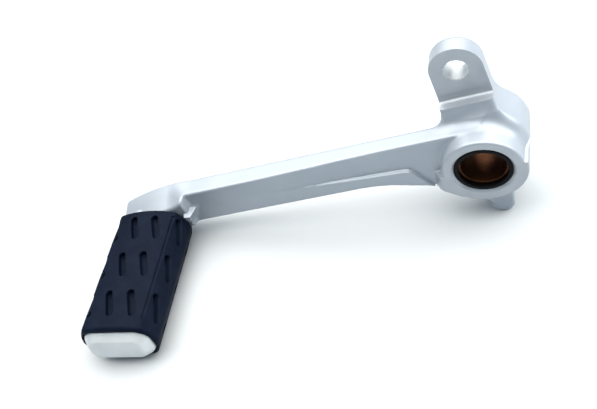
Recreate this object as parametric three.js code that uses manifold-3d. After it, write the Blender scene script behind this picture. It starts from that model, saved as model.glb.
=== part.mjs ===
// Motorcycle gear shift lever: a forged aluminium lever with a rubber toe sleeve,
// swinging on a bronze pivot sleeve between two dust seals.
// Millimetres, +Z up. Y is the pivot axis, with Y = 0 at the hub's outer face and +Y
// towards the motorcycle. The arm runs towards -X and the toe peg stands out along -Y.

import * as THREE from 'three';
import { mergeVertices } from 'three/addons/utils/BufferGeometryUtils.js';
import Module from 'manifold-3d';

const wasm = await Module();
wasm.setup();

// Pivot: the sleeve is clamped by the pivot bolt, and the hub runs on it.
const SLEEVE_INNER_RADIUS = 6;
const SLEEVE_OUTER_RADIUS = 7;
const SLEEVE_RECESS = 1.8;
const SLEEVE_EDGE = 0.4;
const RUNNING_CLEARANCE = 0.06;
const BORE_RADIUS = SLEEVE_OUTER_RADIUS + RUNNING_CLEARANCE;
const ROUND_SEGMENTS = 64;

// Hub
const HUB_LENGTH = 20;
const HUB_UPPER_FRONT_RADIUS = 10.9;
const HUB_UPPER_REAR_RADIUS = 12.1;
const HUB_LOWER_FRONT_RADIUS = 11.7;
const HUB_LOWER_REAR_RADIUS = 12.4;
const HUB_REAR_CHAMFER = 0.8;
const PARTING_Z = 0.6;
const PARTING_TILT = Math.atan(0.17);
// Pad level with the hub's front beside the arm, drawn up to a point at the parting line
const PAD_POINT_X = -13.3;
const PAD_POINT_Z = -1.5;
const PAD_LOW_Z = -5.6;
const PAD_BACK_Y = 5;

// Dust seals, one in a counterbore at each end of the hub
const SEAL_OUTER_RADIUS = 7.8;
const SEAL_LENGTH = 3.1;
const SEAL_RECESS = 0.4;
const SEAL_FIT_GAP = 0.06;
const SEAL_WALL_RADIUS = 7.35;
const SEAL_LIP_RADIUS = 6.6;
const SEAL_LIP_LENGTH = 1.1;
const COUNTERBORE_DEPTH = SEAL_RECESS + SEAL_LENGTH + 0.3;
const MOUTH_CHAMFER = 1;

// Linkage tab above the hub
const TAB_HOLE_RADIUS = 3.3;
const TAB_END_RADIUS = 7;
const TAB_HOLE_X = -4;
const TAB_HOLE_Z = 24.9;
const TAB_LEAN = THREE.MathUtils.degToRad(9);
const TAB_FRONT_Y = 12.8;
const TAB_BACK_Y = 18;
const NECK_FRONT_Y = 9.6;
const LEDGE_BELOW_HOLE = 9.3;

// Arm
const ARM_FRONT_Y = 3.2;
const ARM_BACK_Y = 9.5;
const ARM_SLOPE = 0.161;
const ARM_TOP_AT_HUB = 8.6;
const ARM_UNDER_Z = -7.1;
const ARM_UNDER_X = -35.5;
const ARM_ROOT_X = -15.5;
const ARM_END_X = -96;
// Shallow pocket in the arm's front, above its parting ridge, deepest beside the hub
const POCKET_START_X = -72;
const POCKET_TURN_X = -22;
const POCKET_DEPTH = 1;
const RIDGE_SLOPE = 0.103;
const RIDGE_Z_AT_PIVOT = 0.83;

// Toe peg, at the far end of the arm
const PEG_X = -102.6;
const STAND_Z = -21;
const END_BLOCK_FRONT_Y = 0.8;
const END_BLOCK_TIP_X = -115.8;
const END_BLOCK_SHOULDER_X = -114;
const END_BLOCK_SHOULDER_Z = -10.2;
const END_BLOCK_BEND_X = -92;
const END_BLOCK_ROOT_X = -88;
const END_BLOCK_NOSE_RADIUS = 8;
const END_BLOCK_FRONT_SLOPE = THREE.MathUtils.degToRad(48);
const PEG_TIP_Y = -44.8;
const PEG_HEAD_WIDTH = 21.6;
const PEG_HEAD_HEIGHT = 11;
const PEG_HEAD_CHAMFER = 1.8;
const PEG_HEAD_CORNER = 4.6;
const PEG_HEAD_BACK_Y = -39.4;
const PEG_CORE_WIDTH = 17.6;
const PEG_CORE_HEIGHT = 7.6;

// Rubber sleeve on the peg
const RUBBER_WIDTH = 24.6;
const RUBBER_HEIGHT = 15.3;
const RUBBER_CROWN_WIDTH = 18.4;
const RUBBER_CROWN_DROP = 1.15;
const RUBBER_SIDE_BULGE = 0.4;
const RUBBER_FRONT_Y = -41.9;
const RUBBER_BACK_Y = 0.5;
const RUBBER_GAP = 0.3;
const RUBBER_Z = STAND_Z + RUBBER_HEIGHT / 2;
const GROOVE_LENGTH = 9;
const GROOVE_WIDTH = 2.2;
const GROOVE_DEPTH = 1.2;
const GROOVE_SLANT = THREE.MathUtils.degToRad(18);
const GROOVE_ROWS = 3;
const GROOVE_ROW_PITCH = 13.5;
const GROOVE_MIDDLE_Y = -19.6;
// Where each column of grooves crosses the section: from the middle, and its tilt.
const GROOVE_COLUMNS = [
  { across: -9.7, up: 5.6, tilt: -0.8 },
  { across: -2.4, up: 7.6, tilt: -0.06 },
  { across: 4.6, up: 7.4, tilt: 0.11 },
  { across: 11, up: 3.5, tilt: 1.16 },
];

// Stop lug below the hub
const LUG_ROOT_X = -5;
const LUG_RIGHT_X = 6.6;
const LUG_TIP_RADIUS = 3.3;

// ---------------------------------------------------------------- helpers

// A closed three.js geometry as a solid that can be joined and cut.
function solid(geometry) {
  geometry.deleteAttribute('normal');
  geometry.deleteAttribute('uv');
  const merged = mergeVertices(geometry, 1e-4);
  const corners = merged.index.array;
  const kept = [];
  for (let i = 0; i < corners.length; i += 3) {
    const [a, b, c] = corners.slice(i, i + 3);
    if (a !== b && b !== c && c !== a) kept.push(a, b, c);
  }
  return new wasm.Manifold(new wasm.Mesh({
    numProp: 3,
    vertProperties: new Float32Array(merged.attributes.position.array),
    triVerts: new Uint32Array(kept),
  }));
}

function mesh(name, body, look) {
  const { vertProperties, triVerts } = body.getMesh();
  const geometry = new THREE.BufferGeometry();
  geometry.setAttribute('position', new THREE.BufferAttribute(vertProperties, 3));
  geometry.setIndex(new THREE.BufferAttribute(triVerts, 1));
  const piece = new THREE.Mesh(geometry, new THREE.MeshStandardMaterial(look));
  piece.name = name;
  return piece;
}

// A shape drawn in X and Z, carried along Y from one depth to another. Its front and
// back edges are rounded or bevelled by `edge`, which stays inside the drawn outline.
function slab(shape, fromY, toY, edge = 0, curveSegments = 8) {
  const options = {
    depth: toY - fromY - 2 * edge,
    bevelEnabled: edge > 0,
    bevelSize: edge,
    bevelOffset: -edge,
    bevelThickness: edge,
    bevelSegments: 2,
    curveSegments,
  };
  return solid(new THREE.ExtrudeGeometry(shape, options)
    .rotateX(Math.PI / 2)
    .translate(0, toY - edge, 0));
}

// A body of revolution about the pivot axis, from (radius, y) corners given in the
// order outer wall towards +Y, then back along the inside or the axis.
function turned(corners) {
  const profile = [...corners, corners[0]].map(([radius, y]) => new THREE.Vector2(radius, y));
  return solid(new THREE.LatheGeometry(profile, ROUND_SEGMENTS));
}

function roundedRectangle(width, height, radius, centreX, centreZ) {
  const left = centreX - width / 2;
  const right = centreX + width / 2;
  const low = centreZ - height / 2;
  const high = centreZ + height / 2;
  const shape = new THREE.Shape();
  shape.moveTo(left + radius, low);
  shape.lineTo(right - radius, low);
  shape.absarc(right - radius, low + radius, radius, -Math.PI / 2, 0);
  shape.absarc(right - radius, high - radius, radius, 0, Math.PI / 2);
  shape.absarc(left + radius, high - radius, radius, Math.PI / 2, Math.PI);
  shape.absarc(left + radius, low + radius, radius, Math.PI, Math.PI * 1.5);
  return shape;
}

// ---------------------------------------------------------------- forging

function hubBarrel(frontRadius, rearRadius) {
  return turned([
    [0, 0],
    [frontRadius, 0],
    [rearRadius, HUB_LENGTH - HUB_REAR_CHAMFER],
    [rearRadius - HUB_REAR_CHAMFER, HUB_LENGTH],
    [0, HUB_LENGTH],
  ]);
}

// Below the forging's parting line the barrel is a little fuller.
function hubBody() {
  const reach = 2 * HUB_LOWER_REAR_RADIUS + 4;
  const below = new THREE.BoxGeometry(reach, reach, reach);
  below.translate(0, HUB_LENGTH / 2, -reach / 2);
  below.rotateY(-PARTING_TILT);
  below.translate(0, 0, PARTING_Z);
  const lower = hubBarrel(HUB_LOWER_FRONT_RADIUS, HUB_LOWER_REAR_RADIUS).intersect(solid(below));
  return hubBarrel(HUB_UPPER_FRONT_RADIUS, HUB_UPPER_REAR_RADIUS).add(lower);
}

// Its lower left side runs straight into the hub's round.
function hubPad() {
  const shape = new THREE.Shape();
  shape.moveTo(PAD_POINT_X, PAD_POINT_Z);
  shape.lineTo(PAD_POINT_X, PAD_LOW_Z);
  shape.lineTo(PAD_POINT_X / 2, -HUB_UPPER_FRONT_RADIUS + 1.4);
  shape.lineTo(PAD_POINT_X / 2, 2 * PAD_POINT_Z);
  shape.lineTo(PAD_POINT_X + 2, 2 * PAD_POINT_Z);
  return slab(shape, 0, PAD_BACK_Y, 0.3);
}

// Arm outline: a straight bar that falls away from the hub, widening into it below.
function armBody() {
  const topAtEnd = ARM_TOP_AT_HUB + (ARM_END_X - ARM_ROOT_X) * ARM_SLOPE;
  const underAtEnd = ARM_UNDER_Z + (ARM_END_X - ARM_UNDER_X) * ARM_SLOPE;
  const shape = new THREE.Shape();
  shape.moveTo(-2, 11);
  shape.quadraticCurveTo(-9, 9.6, ARM_ROOT_X, ARM_TOP_AT_HUB);
  shape.lineTo(ARM_END_X, topAtEnd);
  shape.lineTo(ARM_END_X, underAtEnd);
  shape.lineTo(ARM_UNDER_X, ARM_UNDER_Z);
  shape.quadraticCurveTo(-22, -5, -8, -11);
  return slab(shape, ARM_FRONT_Y, ARM_BACK_Y, 0.6);
}

// What is left out of the arm's front above the parting ridge. The ridge follows the arm,
// then dives under it at the hub. The cut starts at nothing and grows towards the hub.
function armPocket() {
  const ridgeZ = (x) => RIDGE_Z_AT_PIVOT + x * RIDGE_SLOPE;
  const over = 20;
  const shape = new THREE.Shape();
  shape.moveTo(POCKET_START_X, ridgeZ(POCKET_START_X));
  shape.lineTo(POCKET_TURN_X, ridgeZ(POCKET_TURN_X));
  shape.quadraticCurveTo(POCKET_TURN_X + 4, ridgeZ(POCKET_TURN_X), ARM_ROOT_X + 3, -over);
  shape.lineTo(0, -over);
  shape.lineTo(0, over);
  shape.lineTo(POCKET_START_X, over);
  const cutter = slab(shape, ARM_FRONT_Y - over, ARM_FRONT_Y);
  const turn = Math.atan(POCKET_DEPTH / (POCKET_TURN_X - POCKET_START_X));
  return cutter
    .translate([-POCKET_START_X, -ARM_FRONT_Y, 0])
    .rotate([0, 0, THREE.MathUtils.radToDeg(turn)])
    .translate([POCKET_START_X, ARM_FRONT_Y, 0]);
}

// The block at the arm's end: its top bends down to a shoulder above a blunt nose.
function endBlock() {
  const topZ = (x) => ARM_TOP_AT_HUB + (x - ARM_ROOT_X) * ARM_SLOPE;
  const underZ = (x) => ARM_UNDER_Z + (x - ARM_UNDER_X) * ARM_SLOPE;
  const middleX = (END_BLOCK_BEND_X + END_BLOCK_SHOULDER_X) / 2;
  const underX = END_BLOCK_TIP_X + END_BLOCK_NOSE_RADIUS;
  const noseLowZ = underZ(underX) + END_BLOCK_NOSE_RADIUS / 2;
  const noseHighZ = END_BLOCK_SHOULDER_Z + (END_BLOCK_TIP_X - END_BLOCK_SHOULDER_X) * 0.8;
  const shape = new THREE.Shape();
  shape.moveTo(END_BLOCK_ROOT_X, topZ(END_BLOCK_ROOT_X));
  shape.lineTo(END_BLOCK_BEND_X, topZ(END_BLOCK_BEND_X));
  shape.quadraticCurveTo(middleX, topZ(middleX), END_BLOCK_SHOULDER_X, END_BLOCK_SHOULDER_Z);
  shape.quadraticCurveTo(END_BLOCK_TIP_X, noseHighZ, END_BLOCK_TIP_X, noseLowZ);
  shape.quadraticCurveTo(END_BLOCK_TIP_X, underZ(underX), underX, underZ(underX));
  shape.lineTo(END_BLOCK_ROOT_X, underZ(END_BLOCK_ROOT_X));
  return slab(shape, END_BLOCK_FRONT_Y, ARM_BACK_Y, 0.8).subtract(blockSlope());
}

// Cuts the block's top away at the front, down towards the rubber.
function blockSlope() {
  const topZ = ARM_TOP_AT_HUB + (END_BLOCK_ROOT_X - ARM_ROOT_X) * ARM_SLOPE;
  const reach = 60;
  const cutter = new THREE.BoxGeometry(reach, reach, reach);
  cutter.translate(-reach / 2 + 5, 0, reach / 2);
  cutter.rotateX(END_BLOCK_FRONT_SLOPE);
  cutter.rotateY(-Math.atan(ARM_SLOPE));
  cutter.translate(END_BLOCK_ROOT_X, ARM_FRONT_Y, topZ);
  return solid(cutter);
}

function pegCore() {
  const shape = roundedRectangle(PEG_CORE_WIDTH, PEG_CORE_HEIGHT, 3.2, PEG_X, RUBBER_Z);
  return slab(shape, PEG_HEAD_BACK_Y - 1, END_BLOCK_FRONT_Y + 2);
}

function pegHead() {
  const shape = roundedRectangle(PEG_HEAD_WIDTH, PEG_HEAD_HEIGHT, PEG_HEAD_CORNER, PEG_X, RUBBER_Z);
  return slab(shape, PEG_TIP_Y, PEG_HEAD_BACK_Y, PEG_HEAD_CHAMFER);
}

// The tab leans with its own axis; points are given across and up that axis from the hole.
function tabPoint(across, up) {
  const x = TAB_HOLE_X + across * Math.cos(TAB_LEAN) - up * Math.sin(TAB_LEAN);
  const z = TAB_HOLE_Z + across * Math.sin(TAB_LEAN) + up * Math.cos(TAB_LEAN);
  return [x, z];
}

// Tab outline: a round end on straight sides that flare into the hub.
function tabShape() {
  const shape = new THREE.Shape();
  shape.moveTo(11.8, 2);
  shape.quadraticCurveTo(6.6, 10.4, ...tabPoint(TAB_END_RADIUS + 0.4, -7));
  shape.lineTo(...tabPoint(TAB_END_RADIUS, 0));
  shape.absarc(TAB_HOLE_X, TAB_HOLE_Z, TAB_END_RADIUS, TAB_LEAN, TAB_LEAN + Math.PI);
  shape.lineTo(...tabPoint(-TAB_END_RADIUS - 0.6, -14));
  shape.quadraticCurveTo(-10.4, 8, -11.8, 2);
  return shape;
}

// The tab is forged thick, then milled back from the front down to a ledge.
function tabBody() {
  const reach = 30;
  const milled = new THREE.BoxGeometry(reach, TAB_FRONT_Y - NECK_FRONT_Y + 1, reach);
  milled.translate(0, (TAB_FRONT_Y + NECK_FRONT_Y - 1) / 2, reach / 2 - LEDGE_BELOW_HOLE);
  milled.rotateY(-TAB_LEAN);
  milled.translate(TAB_HOLE_X, 0, TAB_HOLE_Z);
  return slab(tabShape(), NECK_FRONT_Y, TAB_BACK_Y, 0.4, 16).subtract(solid(milled));
}

function stopLug() {
  const tipLeft = LUG_RIGHT_X - 2 * LUG_TIP_RADIUS;
  const tipZ = STAND_Z + LUG_TIP_RADIUS;
  const shape = new THREE.Shape();
  shape.moveTo(LUG_ROOT_X, -4);
  shape.quadraticCurveTo(tipLeft, -12, tipLeft, tipZ);
  shape.absarc(LUG_RIGHT_X - LUG_TIP_RADIUS, tipZ, LUG_TIP_RADIUS, Math.PI, Math.PI * 2);
  shape.lineTo(LUG_RIGHT_X, -4);
  return slab(shape, ARM_FRONT_Y, ARM_BACK_Y, 0.6);
}

// Everything cut along the pivot axis: bore, seal counterbores and their chamfered mouths.
function pivotCutter() {
  const rear = HUB_LENGTH;
  const over = 1;
  const wide = SEAL_OUTER_RADIUS + MOUTH_CHAMFER;
  return turned([
    [0, -over],
    [wide + over, -over],
    [SEAL_OUTER_RADIUS, MOUTH_CHAMFER],
    [SEAL_OUTER_RADIUS, COUNTERBORE_DEPTH],
    [BORE_RADIUS, COUNTERBORE_DEPTH],
    [BORE_RADIUS, rear - COUNTERBORE_DEPTH],
    [SEAL_OUTER_RADIUS, rear - COUNTERBORE_DEPTH],
    [SEAL_OUTER_RADIUS, rear - MOUTH_CHAMFER],
    [wide + over, rear + over],
    [0, rear + over],
  ]);
}

function tabHoleCutter() {
  const length = TAB_BACK_Y - NECK_FRONT_Y + 4;
  const middle = (TAB_BACK_Y + NECK_FRONT_Y) / 2;
  const cutter = new THREE.CylinderGeometry(TAB_HOLE_RADIUS, TAB_HOLE_RADIUS, length, 40);
  return solid(cutter.translate(TAB_HOLE_X, middle, TAB_HOLE_Z));
}

function leverForging() {
  return armBody()
    .subtract(armPocket())
    .add(hubBody())
    .add(hubPad())
    .add(endBlock())
    .add(pegCore())
    .add(pegHead())
    .add(tabBody())
    .add(stopLug())
    .subtract(pivotCutter())
    .subtract(tabHoleCutter());
}

// ---------------------------------------------------------------- rubber

// Section: crowned above and below, with a steep facet down each side to the widest line.
function rubberSection() {
  const crownEdge = RUBBER_CROWN_WIDTH / 2;
  const widest = RUBBER_WIDTH / 2;
  const high = RUBBER_HEIGHT / 2;
  const edgeUp = high - RUBBER_CROWN_DROP;
  const crownPull = high + RUBBER_CROWN_DROP;
  const sidePull = edgeUp / 2;
  const at = (across, up) => [PEG_X + across, RUBBER_Z + up];
  const shape = new THREE.Shape();
  shape.moveTo(...at(-crownEdge, -edgeUp));
  shape.quadraticCurveTo(...at(0, -crownPull), ...at(crownEdge, -edgeUp));
  shape.quadraticCurveTo(...at(widest - RUBBER_SIDE_BULGE, -sidePull), ...at(widest, 0));
  shape.quadraticCurveTo(...at(widest - RUBBER_SIDE_BULGE, sidePull), ...at(crownEdge, edgeUp));
  shape.quadraticCurveTo(...at(0, crownPull), ...at(-crownEdge, edgeUp));
  shape.quadraticCurveTo(...at(RUBBER_SIDE_BULGE - widest, sidePull), ...at(-widest, 0));
  shape.quadraticCurveTo(...at(RUBBER_SIDE_BULGE - widest, -sidePull), ...at(-crownEdge, -edgeUp));
  return shape;
}

// One slanted tread groove, cut from above or below.
function groove({ across, up, tilt }, row, side) {
  const y = GROOVE_MIDDLE_Y + (row - (GROOVE_ROWS - 1) / 2) * GROOVE_ROW_PITCH;
  const shape = roundedRectangle(GROOVE_WIDTH, 2 * GROOVE_DEPTH, 0.9, 0, 0);
  const cutter = new THREE.ExtrudeGeometry(shape, {
    depth: GROOVE_LENGTH,
    bevelEnabled: false,
    curveSegments: 2,
  });
  cutter.rotateX(Math.PI / 2).translate(0, GROOVE_LENGTH / 2, 0);
  cutter.rotateZ(GROOVE_SLANT).rotateY(side * tilt);
  cutter.translate(PEG_X + across, y, RUBBER_Z + side * up);
  return solid(cutter);
}

function toeRubber() {
  const coreHole = roundedRectangle(
    PEG_CORE_WIDTH + 2 * RUBBER_GAP, PEG_CORE_HEIGHT + 2 * RUBBER_GAP, 3.4, PEG_X, RUBBER_Z);
  const headPocket = roundedRectangle(
    PEG_HEAD_WIDTH + 2 * RUBBER_GAP, PEG_HEAD_HEIGHT + 2 * RUBBER_GAP, PEG_HEAD_CORNER, PEG_X, RUBBER_Z);
  let body = slab(rubberSection(), RUBBER_FRONT_Y, RUBBER_BACK_Y, 0.8, 6)
    .subtract(slab(coreHole, RUBBER_FRONT_Y - 1, RUBBER_BACK_Y + 1))
    .subtract(slab(headPocket, RUBBER_FRONT_Y - 1, PEG_HEAD_BACK_Y + RUBBER_GAP));
  for (const side of [-1, 1]) {
    for (let row = 0; row < GROOVE_ROWS; row += 1) {
      for (const column of GROOVE_COLUMNS) {
        body = body.subtract(groove(column, row, side));
      }
    }
  }
  return body;
}

// ---------------------------------------------------------------- pivot parts

function pivotSleeve() {
  const front = SLEEVE_RECESS;
  const rear = HUB_LENGTH - SLEEVE_RECESS;
  return turned([
    [SLEEVE_INNER_RADIUS + SLEEVE_EDGE, front],
    [SLEEVE_OUTER_RADIUS - SLEEVE_EDGE, front],
    [SLEEVE_OUTER_RADIUS, front + SLEEVE_EDGE],
    [SLEEVE_OUTER_RADIUS, rear - SLEEVE_EDGE],
    [SLEEVE_OUTER_RADIUS - SLEEVE_EDGE, rear],
    [SLEEVE_INNER_RADIUS + SLEEVE_EDGE, rear],
    [SLEEVE_INNER_RADIUS, rear - SLEEVE_EDGE],
    [SLEEVE_INNER_RADIUS, front + SLEEVE_EDGE],
  ]);
}

// Dust seal: a ring pressed into the counterbore, whose lip covers the sleeve's end.
function dustSeal(outerFaceY, inward) {
  const outer = SEAL_OUTER_RADIUS - SEAL_FIT_GAP;
  const corners = [
    [outer, 0],
    [outer, SEAL_LENGTH],
    [SEAL_WALL_RADIUS, SEAL_LENGTH],
    [SEAL_WALL_RADIUS, SEAL_LIP_LENGTH],
    [SEAL_LIP_RADIUS, SEAL_LIP_LENGTH],
    [SEAL_LIP_RADIUS, 0],
  ].map(([radius, depth]) => [radius, outerFaceY + inward * depth]);
  return turned(inward > 0 ? corners : corners.reverse());
}

// ---------------------------------------------------------------- assembly

const SILVER = { color: 0xc2c6cc, roughness: 0.42, metalness: 0.85 };
const RUBBER = { color: 0x15171c, roughness: 0.62, metalness: 0 };
const BRONZE = { color: 0x8a5a34, roughness: 0.35, metalness: 1 };
const SEAL = { color: 0x0e0e10, roughness: 0.5, metalness: 0 };

const lever = new THREE.Group();
lever.add(mesh('lever_forging', leverForging(), SILVER));
lever.add(mesh('toe_rubber', toeRubber(), RUBBER));
lever.add(mesh('front_seal', dustSeal(SEAL_RECESS, 1), SEAL));
lever.add(mesh('rear_seal', dustSeal(HUB_LENGTH - SEAL_RECESS, -1), SEAL));

const assembly = new THREE.Group();
assembly.add(lever);
assembly.add(mesh('pivot_sleeve', pivotSleeve(), BRONZE));

export default assembly;
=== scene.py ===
"""Gear shift lever: the looks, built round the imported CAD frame.

The forging and the rubber are smooth solids given by distance fields in millimetres, in the
CAD's own axes: the pivot axis is Y, the arm runs towards -X and the toe peg towards -Y.
"""

import math

import bpy
import numpy as np
from mathutils import Matrix, Vector


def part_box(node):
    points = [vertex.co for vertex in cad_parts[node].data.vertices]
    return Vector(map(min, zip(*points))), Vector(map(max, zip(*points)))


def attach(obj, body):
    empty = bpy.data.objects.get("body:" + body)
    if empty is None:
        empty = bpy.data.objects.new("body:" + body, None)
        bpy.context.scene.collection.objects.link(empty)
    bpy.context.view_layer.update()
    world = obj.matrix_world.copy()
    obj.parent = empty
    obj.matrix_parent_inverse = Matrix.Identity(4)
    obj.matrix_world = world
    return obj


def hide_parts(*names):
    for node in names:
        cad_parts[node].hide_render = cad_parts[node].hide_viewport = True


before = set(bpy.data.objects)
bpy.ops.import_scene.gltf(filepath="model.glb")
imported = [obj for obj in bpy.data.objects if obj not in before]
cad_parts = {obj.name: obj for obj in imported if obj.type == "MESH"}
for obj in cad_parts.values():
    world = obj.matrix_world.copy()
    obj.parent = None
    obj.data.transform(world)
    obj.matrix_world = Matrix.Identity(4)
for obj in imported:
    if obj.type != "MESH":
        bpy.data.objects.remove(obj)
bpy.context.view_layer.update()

MM = 0.001
LEVER = "lever"
SLEEVE = "sleeve"


def box_mm(node):
    """Lowest and highest corner of a CAD node, in millimetres."""
    low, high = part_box(node)
    return np.array(low) / MM, np.array(high) / MM


FORGING_LOW, FORGING_HIGH = box_mm("lever_forging")
RUBBER_LOW, RUBBER_HIGH = box_mm("toe_rubber")
SLEEVE_LOW, SLEEVE_HIGH = box_mm("pivot_sleeve")
SEAL_LOW, SEAL_HIGH = box_mm("front_seal")

# Walls, gaps and chamfers round the pivot, which the nodes' boxes don't give
SLEEVE_WALL = 1.0
SLEEVE_EDGE = 0.4
SEAL_WALL_OUT = 0.35
SEAL_LIP_IN = 0.4
SEAL_EDGE = 0.22
FIT_GAP = 0.06
LIP_GAP = 0.3
COUNTERBORE_DEPTH = 3.8
MOUTH_CHAMFER = 0.7

HUB_LENGTH = SLEEVE_LOW[1] + SLEEVE_HIGH[1]
SLEEVE_RADIUS = SLEEVE_HIGH[0]
SLEEVE_BORE = SLEEVE_RADIUS - SLEEVE_WALL
SEAL_RADIUS = SEAL_HIGH[0]
SEAL_LENGTH = SEAL_HIGH[1] - SEAL_LOW[1]
LIP_LENGTH = SLEEVE_LOW[1] - SEAL_LOW[1] - LIP_GAP
COUNTERBORE = SEAL_RADIUS + FIT_GAP
STAND_Z = RUBBER_LOW[2]
PEG_X = (RUBBER_LOW[0] + RUBBER_HIGH[0]) / 2
PEG_Z = (RUBBER_LOW[2] + RUBBER_HIGH[2]) / 2
PEG_TIP_Y = FORGING_LOW[1]


# ---------------------------------------------------------------- distance fields

def smooth_min(a, b, blend):
    """The nearer of two solids, run together over a stretch of `blend` millimetres."""
    overlap = np.maximum(blend - np.abs(a - b), 0) / blend
    return np.minimum(a, b) - overlap * overlap * blend / 4


def smooth_max(a, b, blend):
    """The space inside both solids, with their shared edge softened over `blend`."""
    return -smooth_min(-a, -b, blend)


def step_up(value, width):
    """0 below 0 and 1 above `width`, easing between them."""
    t = np.clip(value / width, 0, 1)
    return t * t * (3 - 2 * t)


def rounded_box_2d(u, v, half_u, half_v, radius):
    """A rectangle about the origin with round corners."""
    du = np.abs(u) - half_u + radius
    dv = np.abs(v) - half_v + radius
    outside = np.hypot(np.maximum(du, 0), np.maximum(dv, 0))
    return outside + np.minimum(np.maximum(du, dv), 0) - radius


def rounded_join(a, b, radius):
    """The space inside both `a` and `b`, with the edge between them rounded."""
    a = a + radius
    b = b + radius
    outside = np.hypot(np.maximum(a, 0), np.maximum(b, 0))
    return outside + np.minimum(np.maximum(a, b), 0) - radius


# ---------------------------------------------------------------- surface from a field

# A block counts as near the surface within NEAR_BLOCKS of its widths. A direction that a cell's
# normals hardly point along, by FLAT_BELOW of the most, isn't solved for.
NEAR_BLOCKS = 1.25
HALVINGS = 12
FLAT_BELOW = 0.08
TINY = 1e-9


def sample_field(field, low, high, step, block=6):
    """Field values on a grid of points. Only the blocks near the surface are worked out."""
    blocks = np.ceil((high - low) / (step * block)).astype(int)
    centres = [low[a] + (np.arange(blocks[a]) + 0.5) * block * step for a in range(3)]
    cx, cy, cz = np.meshgrid(*centres, indexing="ij")
    rough = field(cx, cy, cz)
    near = np.abs(rough) < block * step * NEAR_BLOCKS
    coarse = np.where(rough < 0, -1.0, 1.0)
    for axis in range(3):
        near = np.repeat(near, block, axis)
        coarse = np.repeat(coarse, block, axis)
    values = np.pad(coarse, ((0, 1),) * 3, mode="edge")
    wanted = np.zeros(values.shape, bool)
    for di in (0, 1):
        for dj in (0, 1):
            for dk in (0, 1):
                ni, nj, nk = near.shape
                wanted[di:di + ni, dj:dj + nj, dk:dk + nk] |= near
    i, j, k = np.nonzero(wanted)
    values[i, j, k] = field(low[0] + i * step, low[1] + j * step, low[2] + k * step)
    return values


def gradient(field, points, reach=0.01):
    """Unit normals, from the field a little ahead and behind along each axis."""
    slopes = []
    for axis in range(3):
        shift = np.zeros(3)
        shift[axis] = reach
        ahead = field(*(points + shift).T)
        behind = field(*(points - shift).T)
        slopes.append((ahead - behind) / (2 * reach))
    normals = np.stack(slopes, 1)
    return normals / np.maximum(np.linalg.norm(normals, axis=1, keepdims=True), TINY)


def crossing_points(field, start, axis, step):
    """Where the surface crosses each grid edge, found by halving."""
    near_end = np.zeros(len(start))
    far_end = np.full(len(start), step)
    inside_first = field(*start.T) < 0
    for _ in range(HALVINGS):
        middle = (near_end + far_end) / 2
        points = start.copy()
        points[:, axis] += middle
        same = (field(*points.T) < 0) == inside_first
        near_end = np.where(same, middle, near_end)
        far_end = np.where(same, far_end, middle)
    points = start.copy()
    points[:, axis] += (near_end + far_end) / 2
    return points


def contour(field, low, high, step):
    """Dual contouring: one vertex in each crossed cell, placed on edges and corners where
    the field has them, and one quad for each crossed grid edge."""
    values = sample_field(field, low, high, step)
    shape = np.array(values.shape)
    stride = np.array([shape[1] * shape[2], shape[2], 1])
    inside = values < 0
    points, normals, cells = [], [], []
    for axis in range(3):
        first = np.take(inside, np.arange(shape[axis] - 1), axis)
        second = np.take(inside, np.arange(1, shape[axis]), axis)
        index = np.stack(np.nonzero(first != second), 1)
        starts_inside = first[tuple(index.T)]
        found = crossing_points(field, low + index * step, axis, step)
        points.append(found)
        normals.append(gradient(field, found))
        b = np.eye(3, dtype=int)[(axis + 1) % 3]
        c = np.eye(3, dtype=int)[(axis + 2) % 3]
        around = (index - b - c, index - c, index, index - b)
        ring = np.stack([cell @ stride for cell in around], 1)
        ring[~starts_inside] = ring[~starts_inside][:, ::-1]
        cells.append(ring)
    points = np.concatenate(points)
    normals = np.concatenate(normals)
    cells = np.concatenate(cells)
    used, quads = np.unique(cells, return_inverse=True)
    quads = quads.reshape(cells.shape)
    owner = quads.ravel()
    source = np.repeat(np.arange(len(points)), 4)

    def per_cell(weights):
        return np.bincount(owner, weights[source], len(used))

    count = per_cell(np.ones(len(points)))
    middle = np.stack([per_cell(points[:, a]) / count for a in range(3)], 1)
    reach = np.einsum("na,na->n", normals, points)
    square = np.empty((len(used), 3, 3))
    target = np.empty((len(used), 3))
    for a in range(3):
        target[:, a] = per_cell(normals[:, a] * reach)
        for b in range(3):
            square[:, a, b] = per_cell(normals[:, a] * normals[:, b])
    sizes, axes = np.linalg.eigh(square)
    strong = sizes > FLAT_BELOW * sizes[:, 2:]
    inverse = np.where(strong, 1 / np.maximum(sizes, TINY), 0)
    rest = target - np.einsum("nab,nb->na", square, middle)
    move = np.einsum("nab,nb,ncb,nc->na", axes, inverse, axes, rest)
    corner = low + np.stack(np.unravel_index(used, tuple(shape)), 1) * step
    vertices = np.clip(middle + move, corner, corner + step)
    return vertices, quads


# ---------------------------------------------------------------- forging

# Millimetres. A name ending in X, Y or Z is a place, and one ending in BLEND, ROUNDING or
# FILLET softens an edge. An EASE is the stretch over which something comes in.

# Where a surface leans, a plain difference overstates the distance to it. These correct that.
HUB_SCALE = 0.97
UNDER_SCALE = 0.96
GUSSET_LOW_SCALE = 0.75
FLARE_SCALE = 0.88

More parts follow.
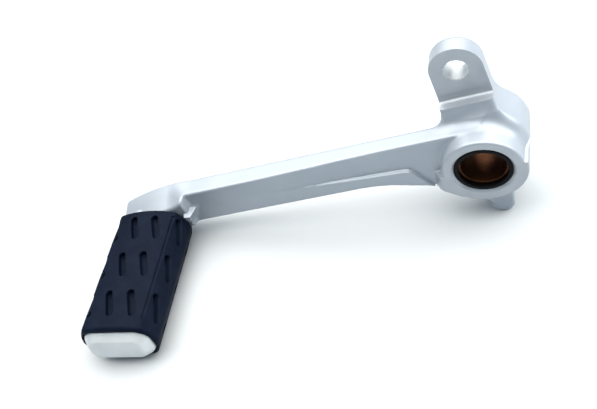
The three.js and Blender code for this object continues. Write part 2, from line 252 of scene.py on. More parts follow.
# Hub, its parting line, and the gusset at its front
HUB_UPPER_RADIUS = 10.9
HUB_UPPER_TAPER = 0.05
HUB_LOWER_RADIUS = 11.75
HUB_LOWER_TAPER = 0.045
HUB_LOWER_MOST = 12.35
HUB_TAPER_BLEND = 0.3
HUB_EDGE_ROUNDING = 0.7
HUB_REACH = 30
FAR_AWAY = 50
PARTING_Z = 0.6
PARTING_TILT = 0.17
PARTING_STEP = 0.5
GUSSET_FOOT_X = -13.6
GUSSET_SLANT = math.radians(28)
GUSSET_TOP_DROP = 1.2
GUSSET_LOW_LEAN = math.radians(58)
GUSSET_LOW_SPREAD = 0.9
GUSSET_BACK_Y = 5.0
GUSSET_EDGE_ROUNDING = 0.2

# Arm: its top and underside, and the pocket and parting ridge on its front
ARM_FRONT_Y = 3.2
ARM_BACK_Y = 9.5
POCKET_DEPTH = 1.0
ARM_SLOPE = 0.161
ARM_TOP_AT_PIVOT = 11.1
ARM_UNDER_AT_PIVOT = -1.15
UNDER_BEND_X = -36
UNDER_BEND = 0.0105
POCKET_START_X = -72
POCKET_EASE = 50
RIDGE_AT_PIVOT = 0.83
RIDGE_SLOPE = 0.103
RIDGE_STEP = 0.45
RIDGE_LIFT_X = -69
RIDGE_LIFT = 0.0039
RIDGE_DIVE_X = -21.5
RIDGE_DIVE_EASE = 9
RIDGE_DIVE = 8.5
LOWER_SLOPE = math.tan(math.radians(4))

# Linkage tab, and the neck below its milled ledge
TAB_HOLE = np.array([-4.0, 24.9])
TAB_HOLE_RADIUS = 3.15
TAB_END_RADIUS = 7.0
TAB_LEAN = math.radians(9)
TAB_FRONT_Y = 12.8
TAB_BACK_Y = 18.2
NECK_FRONT_Y = 9.6
NECK_LEFT_SLOPE = 0.1
NECK_RIGHT_SLOPE = 0.5
NECK_HEIGHT = 3.2
NECK_TURN_FROM = -5
NECK_TURN_EASE = 9
LEDGE_BELOW_HOLE = 9.3
LEDGE_ROUNDING = 1.6
TAB_LEFT_TAPER = 0.04
TAB_FLARE = 0.6
TAB_FLARE_BELOW_HOLE = 12.2
TAB_FLARE_MOST = 4.4
FLARE_START_BLEND = 4
FLARE_END_BLEND = 1.5
TAB_FOOT_BELOW_HOLE = 24
TAB_EDGE_ROUNDING = 1.1
COUNTERSINK = 0.2
DRILL_AHEAD = 2

# Stop lug
LUG_X = 3.3
LUG_HALF_WIDTH = 3.3
LUG_TOP_Z = -6
LUG_SPREAD = 0.05
LUG_SPREAD_POWER = 1.6
LUG_RIGHT_SPREAD = 0.1
LUG_EDGE_ROUNDING = 0.9

# End block: its blunt tip, the shoulder along its front, and the web and ledge at its root
END_BLOCK_FRONT_Y = 0.8
END_BLOCK_ROOT_X = -90.3
END_BLOCK_BEND_X = -92.0
END_BLOCK_BEND_RADIUS = 65.0
END_BLOCK_TIP_X = -115.75
END_BLOCK_TIP_ROUNDING = 2.2
BLOCK_RISE_X = -88.3
BLOCK_EASE = 9
BLOCK_RISE = 0.5
BLOCK_UNDER_BLEND = 2.5
ARM_BLEND = 0.5
ARM_EDGE_ROUNDING = 0.8
SHOULDER_DROP = 3.2
SHOULDER_SLOPE = math.radians(22)
SHOULDER_FADE = 4.0
SHOULDER_BLEND = 1.2
SHOULDER_FADE_X = -97.3
SHOULDER_FADE_EASE = 13
LEDGE_SLOPE = math.radians(20)
LEDGE_TOP_Z = -8.3
WEB_START_X = -87.2
WEB_ACROSS = 0.85
WEB_FORWARD = 0.37
WEB_DOWN = 0.37
WEB_FRONT_Y = -0.4
ROOT_ACROSS = 0.92
ROOT_FORWARD = 0.34
ROOT_UP = 0.18
ROOT_BLEND = 0.8
WEB_BLEND = 0.3
RUBBER_CLEARANCE = 0.25

# Toe peg
PEG_HEAD_WIDTH = 21.2
PEG_HEAD_HEIGHT = 11.0
PEG_HEAD_CHAMFER = 2.2
PEG_HEAD_CORNER = 4.6
PEG_HEAD_LEAN = 0.08
PEG_HEAD_CHAMFER_SLOPE = math.radians(40)
PEG_HEAD_BLEND = 0.5
PEG_HEAD_BACK_Y = -39.4
PEG_CORE_WIDTH = 17.6
PEG_CORE_HEIGHT = 7.6
PEG_CORE_CORNER = 3.2
PEG_ROOT_Y = 4

# Where the limbs run into the hub
ARM_FILLET = 0.6
TAB_FILLET = 4.4
LUG_FILLET = 3.0
GUSSET_FILLET = 0.25


def hub_field(x, y, z):
    """Tapered barrel whose lower half stands out past the upper one at the parting line."""
    radius = np.hypot(x, z)
    depth = np.maximum(y, 0)
    upper = HUB_UPPER_RADIUS + HUB_UPPER_TAPER * depth
    lower = smooth_min(HUB_LOWER_RADIUS + HUB_LOWER_TAPER * depth, HUB_LOWER_MOST, HUB_TAPER_BLEND)
    below = step_up(PARTING_Z + PARTING_TILT * x - z, PARTING_STEP)
    barrel = upper + (lower - upper) * below
    side = (radius - barrel) * HUB_SCALE
    half_length = HUB_LENGTH / 2
    return rounded_join(side, np.abs(y - half_length) - half_length, HUB_EDGE_ROUNDING)


def gusset_field(x, y, z):
    """A gusset from the arm's pocket to the hub's front, in the hub's lower half only. It ends
    in a point just under the parting line, and stays above the arm's underside."""
    top = z - PARTING_Z - PARTING_TILT * x + GUSSET_TOP_DROP
    slant = (GUSSET_FOOT_X - x) * math.cos(GUSSET_SLANT)
    slant = slant + (ARM_FRONT_Y + POCKET_DEPTH - y) * math.sin(GUSSET_SLANT)
    low = -x * math.cos(GUSSET_LOW_LEAN) - z * math.sin(GUSSET_LOW_LEAN)
    low = (low - HUB_LOWER_RADIUS - GUSSET_LOW_SPREAD * y) * GUSSET_LOW_SCALE
    low = np.maximum(low, (arm_under(x) - z) * UNDER_SCALE)
    right = x + HUB_LOWER_RADIUS * math.cos(GUSSET_LOW_LEAN)
    outline = np.maximum(np.maximum(slant, top), np.maximum(low, right))
    return rounded_join(outline, np.maximum(-y, y - GUSSET_BACK_Y), GUSSET_EDGE_ROUNDING)


def arm_top(x):
    return ARM_TOP_AT_PIVOT + ARM_SLOPE * x


def arm_under(x):
    """Straight along the arm, then bending down into the hub."""
    straight = ARM_UNDER_AT_PIVOT + ARM_SLOPE * x
    near = np.maximum(x - UNDER_BEND_X, 0)
    return straight - UNDER_BEND * near * near


def arm_ridge(x):
    """Height of the parting ridge on the arm's front. It lifts towards the end block and dives
    under the arm at the hub."""
    along = RIDGE_AT_PIVOT + RIDGE_SLOPE * x + RIDGE_LIFT * np.maximum(RIDGE_LIFT_X - x, 0) ** 2
    return along - RIDGE_DIVE * step_up(x - RIDGE_DIVE_X, RIDGE_DIVE_EASE)


def front_field(x, y, z):
    """The front: the arm's, pocketed above the parting ridge and sloping outward below it, then
    the end block's, which stands further forward. Below the ridge a sloping web starts a little
    sooner than the block, and its top is a small ledge."""
    above = z - arm_ridge(x)
    pocket = POCKET_DEPTH * step_up(x - POCKET_START_X, POCKET_EASE) * step_up(above, RIDGE_STEP)
    arm = ARM_FRONT_Y - y - LOWER_SLOPE * np.maximum(-above, 0) + pocket
    forward = y - END_BLOCK_FRONT_Y
    root = (x - END_BLOCK_ROOT_X) * ROOT_ACROSS - forward * ROOT_FORWARD
    root = root + np.maximum(z - LEDGE_TOP_Z, 0) * ROOT_UP
    behind = y - ARM_FRONT_Y
    drop = LEDGE_TOP_Z - z
    web = (x - WEB_START_X) * WEB_ACROSS - behind * WEB_FORWARD + drop * WEB_DOWN
    ledge = (z - LEDGE_TOP_Z) * math.cos(LEDGE_SLOPE) - behind * math.sin(LEDGE_SLOPE)
    block = smooth_max(-forward, root, ROOT_BLEND)
    web = np.maximum(smooth_max(web, ledge, WEB_BLEND), WEB_FRONT_Y - y)
    block = smooth_min(block, web, WEB_BLEND)
    return smooth_min(arm, block, ROOT_BLEND)


def arm_field(x, y, z):
    """The arm and the end block in one. The block's top bends down to a blunt nose and slopes
    off at the front towards the rubber, and its front keeps clear of the rubber."""
    bend = np.maximum(END_BLOCK_BEND_X - x, 0)
    blockwards = step_up(BLOCK_RISE_X - x, BLOCK_EASE)
    crest = arm_top(x) + BLOCK_RISE * blockwards - bend * bend / (2 * END_BLOCK_BEND_RADIUS)
    top = (z - crest) * math.cos(math.atan(ARM_SLOPE))
    shoulder = (z - crest + SHOULDER_DROP) * math.cos(SHOULDER_SLOPE)
    shoulder = shoulder - (y - END_BLOCK_FRONT_Y) * math.sin(SHOULDER_SLOPE)
    fade = step_up(x - SHOULDER_FADE_X, SHOULDER_FADE_EASE)
    top = smooth_max(top, shoulder - SHOULDER_FADE * fade, SHOULDER_BLEND)
    under = (arm_under(x) - z) * UNDER_SCALE
    height = smooth_max(top, under, ARM_BLEND + BLOCK_UNDER_BLEND * blockwards)
    height = rounded_join(height, END_BLOCK_TIP_X - x, END_BLOCK_TIP_ROUNDING)
    depth = smooth_max(front_field(x, y, z), y - ARM_BACK_Y, ARM_BLEND)
    rubber_room = rubber_outline(x - PEG_X, z - PEG_Z) - RUBBER_CLEARANCE
    rubber_room = np.maximum(rubber_room, y - END_BLOCK_FRONT_Y)
    solid = np.maximum(rounded_join(height, depth, ARM_EDGE_ROUNDING), x)
    return np.maximum(solid, -rubber_room)


def peg_field(x, y, z):
    """The peg inside the rubber, and the flat chamfered head on its end."""
    u = x - PEG_X
    v = z - PEG_Z
    core = rounded_box_2d(u, v, PEG_CORE_WIDTH / 2, PEG_CORE_HEIGHT / 2, PEG_CORE_CORNER)
    core = np.maximum(core, np.maximum(y - PEG_ROOT_Y, PEG_HEAD_BACK_Y - y))
    head = rounded_box_2d(u, v, PEG_HEAD_WIDTH / 2, PEG_HEAD_HEIGHT / 2, PEG_HEAD_CORNER)
    leant = PEG_TIP_Y + PEG_HEAD_LEAN * np.maximum(z - PEG_Z + PEG_HEAD_HEIGHT / 2, 0)
    chamfer = (head + PEG_HEAD_CHAMFER) * math.cos(PEG_HEAD_CHAMFER_SLOPE)
    chamfer = chamfer + (leant - y) * math.sin(PEG_HEAD_CHAMFER_SLOPE)
    head = np.maximum(head, np.maximum(leant - y, y - PEG_HEAD_BACK_Y))
    head = smooth_max(head, chamfer, PEG_HEAD_BLEND)
    return np.minimum(core, head)


def tab_axes(x, z):
    """Distance across and up the tab's own leaning axis, from its hole."""
    dx = x - TAB_HOLE[0]
    dz = z - TAB_HOLE[1]
    across = dx * math.cos(TAB_LEAN) + dz * math.sin(TAB_LEAN)
    up = -dx * math.sin(TAB_LEAN) + dz * math.cos(TAB_LEAN)
    return across, up


def tab_outline(x, z):
    """A round end on nearly straight sides, the right one flaring out into the hub."""
    across, up = tab_axes(x, z)
    sides = np.hypot(across, np.maximum(up, 0)) - TAB_END_RADIUS
    left = sides - TAB_LEFT_TAPER * np.maximum(-up, 0)
    flare = TAB_FLARE * smooth_max(-up - TAB_FLARE_BELOW_HOLE, 0, FLARE_START_BLEND)
    right = (sides - smooth_min(flare, TAB_FLARE_MOST, FLARE_END_BLEND)) * FLARE_SCALE
    return np.maximum(np.where(across > 0, right, left), -up - TAB_FOOT_BELOW_HOLE)


def tab_field(x, y, z):
    """The tab as forged, before milling. Below the ledge its neck slopes forward, more so at
    the right."""
    outline = tab_outline(x, z)
    across, up = tab_axes(x, z)
    right = step_up(across - NECK_TURN_FROM, NECK_TURN_EASE)
    slope = NECK_LEFT_SLOPE + (NECK_RIGHT_SLOPE - NECK_LEFT_SLOPE) * right
    front = NECK_FRONT_Y - slope * np.clip(-up - LEDGE_BELOW_HOLE, 0, NECK_HEIGHT)
    depth = np.maximum(front - y, y - TAB_BACK_Y)
    return rounded_join(outline, depth, TAB_EDGE_ROUNDING)


def lug_field(x, y, z):
    """The stop lug: a round tip below the hub, spreading upward mostly on the arm's side."""
    tip = STAND_Z + LUG_HALF_WIDTH
    spread = LUG_SPREAD * np.maximum(z - tip, 0) ** LUG_SPREAD_POWER
    spread = np.where(x < LUG_X, spread, LUG_RIGHT_SPREAD * spread)
    beside = np.maximum(np.abs(x - LUG_X) - spread, 0)
    side = np.hypot(beside, np.minimum(z - tip, 0)) - LUG_HALF_WIDTH
    body = np.maximum(side, z - LUG_TOP_Z)
    depth = np.maximum(ARM_FRONT_Y - y, y - ARM_BACK_Y)
    return rounded_join(body, depth, LUG_EDGE_ROUNDING)


def forged_field(x, y, z):
    """The forging before machining, its limbs blended into the hub."""
    hub = hub_field(x, y, z)
    solid = smooth_min(hub, arm_field(x, y, z), ARM_FILLET)
    solid = smooth_min(solid, tab_field(x, y, z), TAB_FILLET)
    solid = smooth_min(solid, lug_field(x, y, z), LUG_FILLET)
    solid = smooth_min(solid, gusset_field(x, y, z), GUSSET_FILLET)
    return np.minimum(solid, peg_field(x, y, z))


def machined_field(x, y, z):
    """What the machine shop takes off: below 0 where metal has been cut away."""
    radius = np.hypot(x, z)
    middle = np.abs(y - HUB_LENGTH / 2)
    end = HUB_LENGTH / 2 - middle
    bore = radius - (SLEEVE_RADIUS + FIT_GAP)
    seat = np.maximum(radius - COUNTERBORE, end - COUNTERBORE_DEPTH)
    mouth = (radius - COUNTERBORE - MOUTH_CHAMFER + end) * math.sqrt(0.5)
    hub_cut = np.minimum(np.minimum(bore, seat), mouth)
    across, up = tab_axes(x, z)
    hole_radius = np.hypot(across, up)
    hole = hole_radius - TAB_HOLE_RADIUS
    hole_end = np.abs(y - (TAB_FRONT_Y + TAB_BACK_Y) / 2) - (TAB_BACK_Y - TAB_FRONT_Y) / 2
    countersink = (hole_radius - TAB_HOLE_RADIUS - COUNTERSINK - hole_end) * math.sqrt(0.5)
    hole = np.maximum(np.minimum(hole, countersink), NECK_FRONT_Y - DRILL_AHEAD - y)
    milled = smooth_max(y - TAB_FRONT_Y, -LEDGE_BELOW_HOLE - up, LEDGE_ROUNDING)
    cut = np.minimum(np.minimum(hub_cut, hole), milled)
    face_cut = np.where(np.abs(x) < HUB_REACH, end, FAR_AWAY)
    return np.minimum(cut, face_cut)


def forging_field(x, y, z):
    """The finished forging."""
    return np.maximum(forged_field(x, y, z), -machined_field(x, y, z))


# ---------------------------------------------------------------- rubber

# Tread grooves: rows along the peg, and columns by distance round the section
GROOVE_LENGTH = 9.0
GROOVE_WIDTH = 2.2
GROOVE_DEPTH = 1.7
GROOVE_SLANT = math.radians(19)
GROOVE_ROWS = 3
GROOVE_ROW_PITCH = 13.45
GROOVE_MIDDLE_Y = -19.6
GROOVE_COLUMNS = (-9.8, -2.4, 4.6, 12.6)

# Section, ends, creases, and the way through for the peg
RUBBER_LENGTH = RUBBER_HIGH[1] - RUBBER_LOW[1]
RUBBER_HALF_WIDTH = (RUBBER_HIGH[0] - RUBBER_LOW[0]) / 2
RUBBER_HALF_HEIGHT = (RUBBER_HIGH[2] - RUBBER_LOW[2]) / 2
CROWN_HALF_WIDTH = 9.2
CROWN_DROP = 1.15
CROWN_EDGE_UP = RUBBER_HALF_HEIGHT - CROWN_DROP
EDGE_TURN = 1.2
FACET_STEEPNESS = math.radians(57)
CROWN_SCALE = 0.98
CROWN_BLEND = 0.45
SIDE_BLEND = 2.0
FRONT_ROUNDING = 1.4
REAR_ROUNDING = 0.8
REAR_BOW = 0.004
GROOVE_FLOOR_ROUNDING = 0.5
GROOVE_LIP = 0.25
CREASE_RADIUS = 0.5
CREASE_SHORT = 3.2
CREASE_LIP = 0.15
CORE_GAP = 0.25
CORE_HOLE_CORNER = 3.4
HEAD_GAP = 0.15
HEAD_BACK_GAP = 0.2
HOLE_BLEND = 0.5


def rubber_outline(u, v):
    """Crowned above and below, with a steep facet down each side to the widest line."""
    u = np.abs(u)
    v = np.abs(v)
    crown = v - RUBBER_HALF_HEIGHT + CROWN_DROP * (u / CROWN_HALF_WIDTH) ** 2
    facet = (u - CROWN_HALF_WIDTH) * math.sin(FACET_STEEPNESS)
    facet = facet + (v - CROWN_EDGE_UP) * math.cos(FACET_STEEPNESS)
    side = smooth_max(facet, u - RUBBER_HALF_WIDTH, SIDE_BLEND)
    return smooth_max(crown * CROWN_SCALE, side, CROWN_BLEND)


def round_the_section(u, v):
    """How far round the section a point near the surface lies, from the top's middle."""
    past_edge = np.clip((np.abs(u) - CROWN_HALF_WIDTH + EDGE_TURN) / EDGE_TURN, 0, 1)
    down_facet = np.maximum(CROWN_EDGE_UP - np.abs(v), 0) / math.sin(FACET_STEEPNESS)
    return np.sign(u) * (np.minimum(np.abs(u), CROWN_HALF_WIDTH) + past_edge * down_facet)


def groove_field(u, y, v):
    """All tread grooves, each a slanted slot with round ends and a round bottom."""
    place = round_the_section(u, v)
    depth_below = -rubber_outline(u, v)
    nearest = np.full(np.shape(u), float(FAR_AWAY))
    for row in range(GROOVE_ROWS):
        for column in GROOVE_COLUMNS:
            du = place - column
            dy = y - GROOVE_MIDDLE_Y - (row - (GROOVE_ROWS - 1) / 2) * GROOVE_ROW_PITCH
            along = dy * math.cos(GROOVE_SLANT) - du * math.sin(GROOVE_SLANT)
            side = du * math.cos(GROOVE_SLANT) + dy * math.sin(GROOVE_SLANT)
            beyond = np.maximum(np.abs(along) - (GROOVE_LENGTH - GROOVE_WIDTH) / 2, 0)
            plan = np.hypot(side, beyond) - GROOVE_WIDTH / 2
            nearest = np.minimum(nearest, plan)
    return rounded_join(nearest, depth_below - GROOVE_DEPTH, GROOVE_FLOOR_ROUNDING)


def crease_field(u, y, v):
    """A fine line pressed in along each edge of the crown."""
    line = np.hypot(np.abs(u) - CROWN_HALF_WIDTH, np.abs(v) - CROWN_EDGE_UP) - CREASE_RADIUS
    return np.maximum(line, np.abs(y - GROOVE_MIDDLE_Y) - RUBBER_LENGTH / 2 + CREASE_SHORT)


def rubber_field(x, y, z):
    """The sleeve: a moulded outside, with a way through for the peg and a pocket for its head."""
    u = x - PEG_X
    v = z - PEG_Z
    body = rounded_join(rubber_outline(u, v), RUBBER_LOW[1] - y, FRONT_ROUNDING)
    body = rounded_join(body, y - RUBBER_HIGH[1] + REAR_BOW * u * u, REAR_ROUNDING)
    body = smooth_max(body, -groove_field(u, y, v), GROOVE_LIP)
    body = smooth_max(body, -crease_field(u, y, v), CREASE_LIP)
    core = rounded_box_2d(u, v, PEG_CORE_WIDTH / 2 + CORE_GAP, PEG_CORE_HEIGHT / 2 + CORE_GAP,
                          CORE_HOLE_CORNER)
    pocket = rounded_box_2d(u, v, PEG_HEAD_WIDTH / 2 + HEAD_GAP, PEG_HEAD_HEIGHT / 2 + HEAD_GAP,
                            PEG_HEAD_CORNER)
    pocket = np.maximum(pocket, y - PEG_HEAD_BACK_Y - HEAD_BACK_GAP)
    return smooth_max(body, -np.minimum(core, pocket), HOLE_BLEND)


# ---------------------------------------------------------------- meshes

MOST_OF_A_SIDE = 0.45


def mesh_piece(name, vertices, faces, body, crease=35):
    """A smooth-shaded mesh from millimetres, riding on a body. Edges past `crease` stay sharp."""
    mesh = bpy.data.meshes.new(name)
    mesh.from_pydata((vertices * MM).tolist(), [], faces.tolist())
    mesh.update()
    mesh.shade_smooth()
    mesh.set_sharp_from_angle(angle=math.radians(crease))
    piece = bpy.data.objects.new(name, mesh)
    bpy.context.scene.collection.objects.link(piece)
    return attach(piece, body)


def turned_piece(name, profile, body, segments=128, crease=30):
    """A ring about the pivot axis from (radius, y) corners that close on themselves."""
    profile = np.array(profile, float)
    count = len(profile)
    angles = np.arange(segments) * 2 * math.pi / segments
    rings = [np.stack([profile[:, 0] * math.cos(a), profile[:, 1], profile[:, 0] * math.sin(a)], 1)
             for a in angles]
    faces = []
    for ring in range(segments):
        for corner in range(count):
            after = (corner + 1) % count
            this = ring * count
            other = (ring + 1) % segments * count
            faces.append((this + corner, this + after, other + after, other + corner))
    return mesh_piece(name, np.concatenate(rings), np.array(faces), body, crease)


def rounded_profile(corners, radius, steps=3):
    """The corners of a closed profile, each replaced by a small arc."""
    points = []
    count = len(corners)
    for i in range(count):
        corner = np.array(corners[i], float)
        before = np.array(corners[i - 1], float) - corner
        after = np.array(corners[(i + 1) % count], float) - corner
        sides = np.linalg.norm(before), np.linalg.norm(after)
        cut = min(radius, MOST_OF_A_SIDE * sides[0], MOST_OF_A_SIDE * sides[1])
        start = corner + before / sides[0] * cut
        end = corner + after / sides[1] * cut
        for t in np.linspace(0, 1, steps + 1):
            points.append((1 - t) ** 2 * start + 2 * t * (1 - t) * corner + t * t * end)
    return points


def sleeve_profile():
    """A plain tube, open at both ends."""
    front = SLEEVE_LOW[1]
    rear = SLEEVE_HIGH[1]
    corners = [(SLEEVE_BORE, front), (SLEEVE_RADIUS, front)]
    corners += [(SLEEVE_RADIUS, rear), (SLEEVE_BORE, rear)]
    return rounded_profile(corners, SLEEVE_EDGE)


def seal_profile(outer_y, inward):
    """A ring whose lip turns in to cover the sleeve's end."""
    wall = SLEEVE_RADIUS + SEAL_WALL_OUT
    lip = SLEEVE_RADIUS - SEAL_LIP_IN
    corners = [(SEAL_RADIUS, 0), (SEAL_RADIUS, SEAL_LENGTH), (wall, SEAL_LENGTH)]
    corners += [(wall, LIP_LENGTH), (lip, LIP_LENGTH), (lip, 0)]
    if inward > 0:
        corners = corners[::-1]
    corners = [(radius, outer_y + inward * depth) for radius, depth in corners]
    return rounded_profile(corners, SEAL_EDGE)


# ---------------------------------------------------------------- materials

# Scales from metres: even, drawn out level, and drawn out in rings round the pivot axis
PER_MM = (1000, 1000, 1000)
SCUFFED = (250, 250, 2500)
TURNED = (60, 5000, 60)
NOISE_SPAN = (0.3, 0.7)
NOISE_ROUGHNESS = 0.55


def new_material(name):
    """A material, its nodes and links, and its main shader."""
    material = bpy.data.materials.new(name)
    material.use_nodes = True
    nodes = material.node_tree.nodes
    return material, nodes, material.node_tree.links, nodes["Principled BSDF"]


def position(nodes, links, scale):
    """The piece's own coordinates in metres, times `scale` on each axis."""
    coordinates = nodes.new("ShaderNodeTexCoord")
    mapping = nodes.new("ShaderNodeMapping")
    mapping.inputs["Scale"].default_value = scale
    links.new(coordinates.outputs["Object"], mapping.inputs["Vector"])
    return mapping.outputs["Vector"]


def noise(nodes, links, vector, scale, detail):
    """Noise with `scale` grains to each unit of the vector."""
    texture = nodes.new("ShaderNodeTexNoise")
    texture.inputs["Scale"].default_value = scale
    texture.inputs["Detail"].default_value = detail
    texture.inputs["Roughness"].default_value = NOISE_ROUGHNESS
    links.new(vector, texture.inputs["Vector"])
    return texture.outputs["Fac"]


def two_tone(nodes, links, factor, first_colour, last_colour):
    """Runs from one colour to the other over the span that a noise mostly stays in."""
    element = nodes.new("ShaderNodeValToRGB")
    first, last = element.color_ramp.elements
    first.position, last.position = NOISE_SPAN
    first.color = (*first_colour, 1)
    last.color = (*last_colour, 1)
    links.new(factor, element.inputs["Fac"])
    return element.outputs["Color"]


def spread(nodes, links, factor, low, high):
    """Maps a factor from 0..1 to low..high."""
    element = nodes.new("ShaderNodeMapRange")
    element.inputs["To Min"].default_value = low
    element.inputs["To Max"].default_value = high
    links.new(factor, element.inputs["Value"])
    return element.outputs["Result"]


def bump(nodes, links, height, strength, distance, shader, under=None):
    """Gives the shader a bumpy normal, laid over the bump `under` when there is one."""
    element = nodes.new("ShaderNodeBump")
    element.inputs["Strength"].default_value = strength
    element.inputs["Distance"].default_value = distance
    links.new(height, element.inputs["Height"])
    if under is not None:
        links.new(under, element.inputs["Normal"])
    links.new(element.outputs["Normal"], shader.inputs["Normal"])
    return element.outputs["Normal"]


def forged_silver():
    """Satin silver paint over a forged skin: a faint orange peel and fine metal flake."""
    material, nodes, links, shader = new_material("forged_silver")
    place = position(nodes, links, PER_MM)
    clouds = noise(nodes, links, place, scale=0.08, detail=3)
    peel = noise(nodes, links, place, scale=1.1, detail=2)
    flake = noise(nodes, links, place, scale=9.0, detail=2)
    colour = two_tone(nodes, links, clouds, (0.320, 0.362, 0.415), (0.352, 0.396, 0.447))
    links.new(colour, shader.inputs["Base Color"])
    shader.inputs["Metallic"].default_value = 0.35
    links.new(spread(nodes, links, clouds, low=0.38, high=0.46), shader.inputs["Roughness"])
    under = bump(nodes, links, peel, strength=0.12, distance=0.00005, shader=shader)
    bump(nodes, links, flake, strength=0.08, distance=0.00002, shader=shader, under=under)
    return material


def bare_aluminium_painted_light():
    """Bare aluminium with fine scuffs, its base colour made brighter than the forging's as painted
    light: the toe peg's head and the drilled hole.
    """
    material, nodes, links, shader = new_material("bare_aluminium_painted_light")
    place = position(nodes, links, PER_MM)
    scuffs = noise(nodes, links, position(nodes, links, SCUFFED), scale=1.0, detail=3)
    clouds = noise(nodes, links, place, scale=0.22, detail=3)
    # Painted light: this colour is kept brighter than the forging's so the head and the hole look
    # lit
    colour = two_tone(nodes, links, clouds, (0.52, 0.56, 0.58), (0.59, 0.63, 0.65))
    links.new(colour, shader.inputs["Base Color"])
    shader.inputs["Metallic"].default_value = 0.35
    links.new(spread(nodes, links, scuffs, low=0.36, high=0.50), shader.inputs["Roughness"])
    bump(nodes, links, scuffs, strength=0.10, distance=0.00003, shader=shader)
    return material


def milled_aluminium():
    """Bare face-milled aluminium, with fine overlapping cutter lines."""
    material, nodes, links, shader = new_material("milled_aluminium")
    place = position(nodes, links, PER_MM)
    clouds = noise(nodes, links, place, scale=0.25, detail=3)
    wave = nodes.new("ShaderNodeTexWave")
    wave.wave_type = "RINGS"
    wave.rings_direction = "Y"
    wave.inputs["Scale"].default_value = 3.2
    wave.inputs["Distortion"].default_value = 0.6
    wave.inputs["Detail"].default_value = 2
    links.new(place, wave.inputs["Vector"])
    colour = two_tone(nodes, links, clouds, (0.355, 0.39, 0.435), (0.395, 0.43, 0.47))
    links.new(colour, shader.inputs["Base Color"])
    shader.inputs["Metallic"].default_value = 0.55
    lines = wave.outputs["Fac"]
    links.new(spread(nodes, links, lines, low=0.38, high=0.48), shader.inputs["Roughness"])
    bump(nodes, links, lines, strength=0.10, distance=0.00003, shader=shader)
    return material


def moulded_rubber():
    """Blue-black moulded rubber with a fine matt grain and slight bloom."""
    material, nodes, links, shader = new_material("moulded_rubber")
    place = position(nodes, links, PER_MM)
    clouds = noise(nodes, links, place, scale=0.18, detail=4)
    grain = noise(nodes, links, place, scale=3.5, detail=3)
    colour = two_tone(nodes, links, clouds, (0.0015, 0.004, 0.012), (0.004, 0.008, 0.018))
    links.new(colour, shader.inputs["Base Color"])
    links.new(spread(nodes, links, grain, low=0.48, high=0.62), shader.inputs["Roughness"])
    shader.inputs["Specular IOR Level"].default_value = 0.05
    bump(nodes, links, grain, strength=0.25, distance=0.00006, shader=shader)
    return material


def oiled_bronze():
    """Bored bronze with faint turning lines and darker oiled patches."""
    material, nodes, links, shader = new_material("oiled_bronze")
    place = position(nodes, links, PER_MM)
    stretched = position(nodes, links, TURNED)
    clouds = noise(nodes, links, place, scale=0.3, detail=4)
    lines = noise(nodes, links, stretched, scale=1.0, detail=2)
    colour = two_tone(nodes, links, clouds, (0.042, 0.014, 0.006), (0.092, 0.037, 0.015))
    links.new(colour, shader.inputs["Base Color"])
    shader.inputs["Metallic"].default_value = 0.9
    links.new(spread(nodes, links, lines, low=0.34, high=0.50), shader.inputs["Roughness"])
    bump(nodes, links, lines, strength=0.2, distance=0.00002, shader=shader)
    return material


def seal_rubber():
    """Plain black nitrile, slightly worn."""
    material, nodes, links, shader = new_material("seal_rubber")
    place = position(nodes, links, PER_MM)
    grain = noise(nodes, links, place, scale=2.5, detail=3)
    colour = two_tone(nodes, links, grain, (0.0015, 0.0015, 0.002), (0.003, 0.003, 0.004))
    links.new(colour, shader.inputs["Base Color"])
    links.new(spread(nodes, links, grain, low=0.45, high=0.60), shader.inputs["Roughness"])
    shader.inputs["Specular IOR Level"].default_value = 0.08
    bump(nodes, links, grain, strength=0.15, distance=0.00003, shader=shader)
    return material


# ---------------------------------------------------------------- the pieces

# Contouring grids, and which faces of the forging are cut, or bare and brightened as painted light
FORGING_MARGIN = 1.5
FORGING_STEP = 0.4
RUBBER_MARGIN = 1.0
RUBBER_STEP = 0.25
CUT_TOLERANCE = 0.05
HOLE_RIM = 0.5
HOLE_RIM_BACK = 0.1
HEAD_BEHIND_RUBBER = 1
FORGED_SLOT, MILLED_SLOT, BARE_PAINTED_LIGHT_SLOT = range(3)


def contoured(field, low, high, margin, step):
    """The field's surface, kept inside the CAD node's box."""
    vertices, faces = contour(field, low - margin, high + margin, step)
    return np.clip(vertices, low, high), faces


def forging_slots(centre):
    """Bare metal, brightened as painted light, on the peg's head and in the drilled hole; milled
    on the other cut faces.
    """
    cut = np.abs(machined_field(*centre.T)) < CUT_TOLERANCE
    across, up = tab_axes(centre[:, 0], centre[:, 2])
    in_hole = np.hypot(across, up) < TAB_HOLE_RADIUS + HOLE_RIM
    in_hole = in_hole & (centre[:, 1] > TAB_FRONT_Y + HOLE_RIM_BACK)
    head = centre[:, 1] < RUBBER_LOW[1] + HEAD_BEHIND_RUBBER
    return np.where(head | (cut & in_hole), BARE_PAINTED_LIGHT_SLOT, np.where(cut, MILLED_SLOT, FORGED_SLOT))


def make_forging():
    """The forging, its three metals told apart by face, the bare one brightened as painted light.
    """
    vertices, faces = contoured(forging_field, FORGING_LOW, FORGING_HIGH, FORGING_MARGIN,
                                FORGING_STEP)
    piece = mesh_piece("forging", vertices, faces, LEVER)
    piece.data.materials.append(forged_silver())
    piece.data.materials.append(milled_aluminium())
    piece.data.materials.append(bare_aluminium_painted_light())
    slots = forging_slots(vertices[faces].mean(1))
    piece.data.polygons.foreach_set("material_index", slots.astype(np.int32))
    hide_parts("lever_forging")


def make_rubber():
    """The toe rubber."""
    vertices, faces = contoured(rubber_field, RUBBER_LOW, RUBBER_HIGH, RUBBER_MARGIN, RUBBER_STEP)
    piece = mesh_piece("toe_rubber_moulding", vertices, faces, LEVER, crease=50)
    piece.data.materials.append(moulded_rubber())
    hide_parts("toe_rubber")


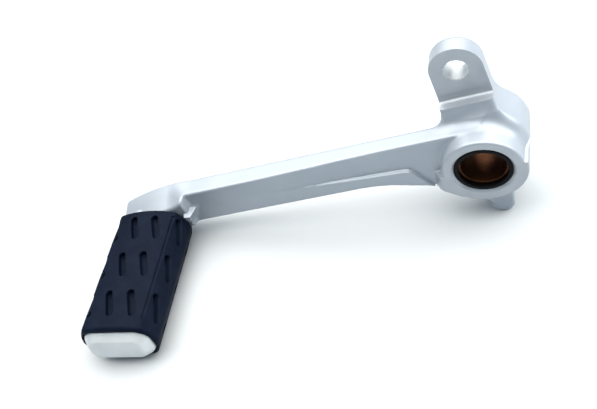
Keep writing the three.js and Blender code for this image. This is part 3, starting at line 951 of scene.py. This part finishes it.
def make_pivot_parts():
    """The sleeve, which stays still, and a seal at each end of the hub."""
    sleeve = turned_piece("sleeve", sleeve_profile(), SLEEVE)
    sleeve.data.materials.append(oiled_bronze())
    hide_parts("pivot_sleeve")
    black = seal_rubber()
    front = turned_piece("front_dust_seal", seal_profile(SEAL_LOW[1], 1), LEVER)
    rear = turned_piece("rear_dust_seal", seal_profile(HUB_LENGTH - SEAL_LOW[1], -1), LEVER)
    for seal, node in ((front, "front_seal"), (rear, "rear_seal")):
        seal.data.materials.append(black)
        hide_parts(node)


# ---------------------------------------------------------------- stage, light and camera

# The camera's place and the floor's drop are in millimetres, the lights' places in metres.
CAMERA_PLACE = Vector((20.6, -146.8, 165.2))
CAMERA_FORWARD = Vector((-0.3117, 0.6148, -0.7245))
CAMERA_UP = Vector((0.0694, 0.7752, 0.6279))
CAMERA_LENS = 49.45
CAMERA_SENSOR = 36
CAMERA_NEAR = 0.01
FLOOR_REACH = 1.5
FLOOR_DROP = 0.02
FLOOR_COLOUR = (0.48, 0.51, 0.53, 1)
FLOOR_ROUGHNESS = 0.8
SKY_COLOUR = (0.56, 0.81, 1.0, 1)
SKY_STRENGTH = 0.25
SOFTBOX_PLACE = (-0.15, 0.32, 0.8)
SOFTBOX_TARGET = (-0.15, 0.32, 0)
SOFTBOX_SIZE = (1.9, 1.5)
FILL_PLACE = (0.7, 0.24, 0.35)
FILL_TARGET = (0, 0, 0)
FILL_SIZE = (0.5, 0.5)


def make_camera():
    """The camera, turned to its forward and up directions."""
    camera = bpy.data.objects.new("camera", bpy.data.cameras.new("camera"))
    camera.data.lens = CAMERA_LENS
    camera.data.sensor_width = CAMERA_SENSOR
    camera.data.clip_start = CAMERA_NEAR
    forward = CAMERA_FORWARD.normalized()
    right = forward.cross(CAMERA_UP).normalized()
    up = right.cross(forward)
    turn = Matrix((right, up, -forward)).transposed().to_4x4()
    camera.matrix_world = Matrix.Translation(CAMERA_PLACE * MM) @ turn
    bpy.context.scene.collection.objects.link(camera)
    bpy.context.scene.camera = camera


def make_floor():
    reach = FLOOR_REACH
    z = (STAND_Z - FLOOR_DROP) * MM
    mesh = bpy.data.meshes.new("floor")
    corners = [(-reach, -reach, z), (reach, -reach, z), (reach, reach, z), (-reach, reach, z)]
    mesh.from_pydata(corners, [], [(0, 1, 2, 3)])
    floor = bpy.data.objects.new("floor", mesh)
    bpy.context.scene.collection.objects.link(floor)
    material, _, _, shader = new_material("floor_white")
    shader.inputs["Base Color"].default_value = FLOOR_COLOUR
    shader.inputs["Roughness"].default_value = FLOOR_ROUGHNESS
    mesh.materials.append(material)


def add_area_light(name, place, target, size, power, colour):
    """A rectangular light facing its target."""
    light = bpy.data.lights.new(name, "AREA")
    light.shape = "RECTANGLE"
    light.size, light.size_y = size
    light.energy = power
    light.color = colour
    lamp = bpy.data.objects.new(name, light)
    lamp.location = Vector(place)
    direction = Vector(target) - lamp.location
    lamp.rotation_euler = direction.to_track_quat("-Z", "Y").to_euler()
    bpy.context.scene.collection.objects.link(lamp)


def make_light():
    world = bpy.data.worlds.new("studio")
    world.use_nodes = True
    background = world.node_tree.nodes["Background"]
    background.inputs["Color"].default_value = SKY_COLOUR
    background.inputs["Strength"].default_value = SKY_STRENGTH
    bpy.context.scene.world = world
    add_area_light("top_softbox", SOFTBOX_PLACE, SOFTBOX_TARGET, SOFTBOX_SIZE,
                   power=38.5, colour=(1.0, 0.96, 0.91))
    add_area_light("right_fill", FILL_PLACE, FILL_TARGET, FILL_SIZE,
                   power=5.2, colour=(1.0, 0.98, 0.96))
    bpy.context.scene.view_settings.view_transform = "Standard"


make_camera()
make_floor()
make_light()
make_forging()
make_rubber()
make_pivot_parts()
